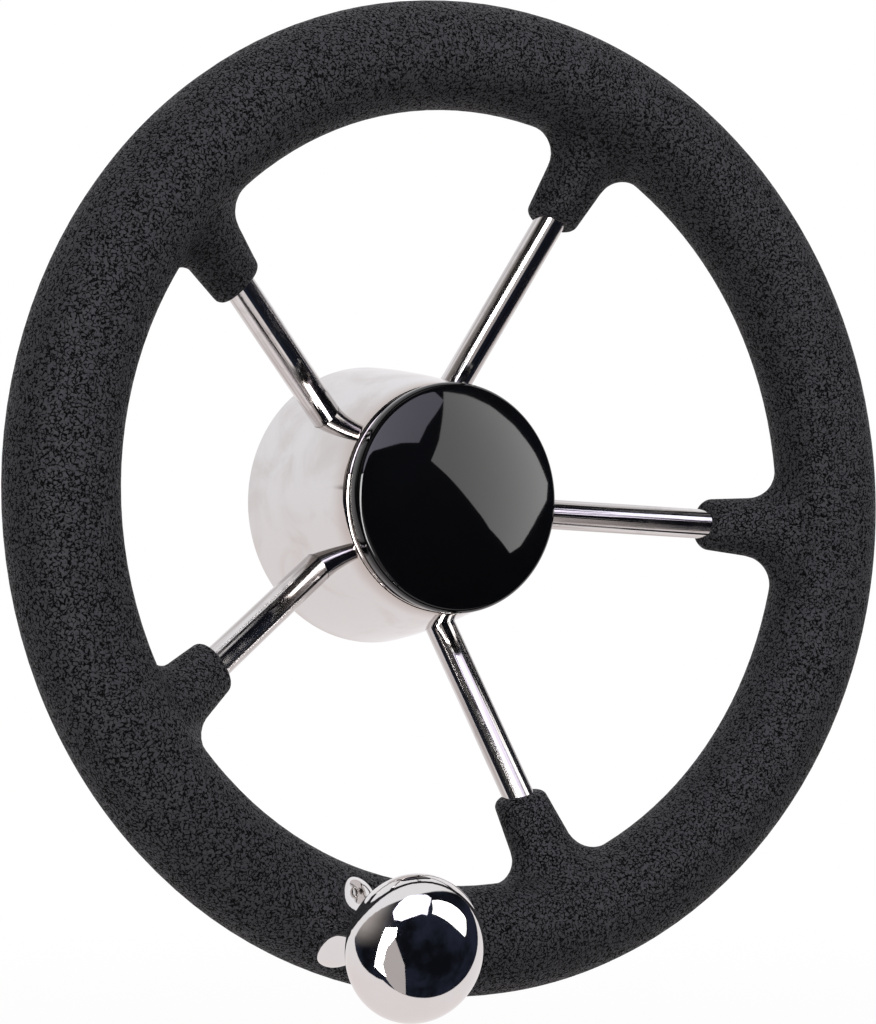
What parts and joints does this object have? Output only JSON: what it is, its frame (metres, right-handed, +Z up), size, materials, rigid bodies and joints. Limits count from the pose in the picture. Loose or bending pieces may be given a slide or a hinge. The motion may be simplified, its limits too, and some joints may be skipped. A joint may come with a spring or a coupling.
{
  "type": "boat steering wheel",
  "caption": "Dished stainless boat steering wheel with black foam grip, conical polished hub, domed black cap and a turning ball knob on the rim.",
  "frame": {"origin": "on the wheel's axis at the rear face of the hub core, where the shaft's taper enters", "axes": "+Y along the wheel's axis towards the helm, the driver sits towards -Y, +Z up, +X to the driver's right"},
  "size_m": [0.343, 0.1563, 0.343],
  "materials": {
    "grip_foam": "moulded foam skin with a fine leather grain, matt with small highlights",
    "polished_steel": "mirror-polished stainless steel",
    "turned_steel": "turned or drawn stainless steel, satin",
    "cap_plastic": "high gloss black plastic",
    "seal_rubber": "smooth black seal rubber",
    "bearing_plastic": "black bearing plastic, smooth"
  },
  "bodies": {
    "wheel": {"grip": "grip_foam", "centre_cap": "cap_plastic", "cap_ring": "seal_rubber", "knob_washer": "bearing_plastic", "hub_shell": "polished_steel", "knob_saddle": "polished_steel", "hub_core": "turned_steel", "hub_plate": "turned_steel", "knob_spindle": "turned_steel", "rim_tube": "turned_steel", "bolt_sleeve": "turned_steel", "bolt_washer": "turned_steel", "bolt_lock_washer": "turned_steel", "knob_bolt": "turned_steel", "spoke_1": "polished_steel", "spoke_2": "polished_steel", "spoke_3": "polished_steel", "spoke_4": "polished_steel", "spoke_5": "polished_steel"},
    "knob": {"knob_ball": "polished_steel", "knob_bush": "bearing_plastic", "knob_gland": "turned_steel"}
  },
  "joints": [
    {"name": "knob_turn", "type": "hinge", "parent": "wheel", "child": "knob", "pos_m": [-0.0605, -0.13161, -0.14393], "axis": [-0.0203, -0.9986, -0.0482], "continuous": true}
  ]
}
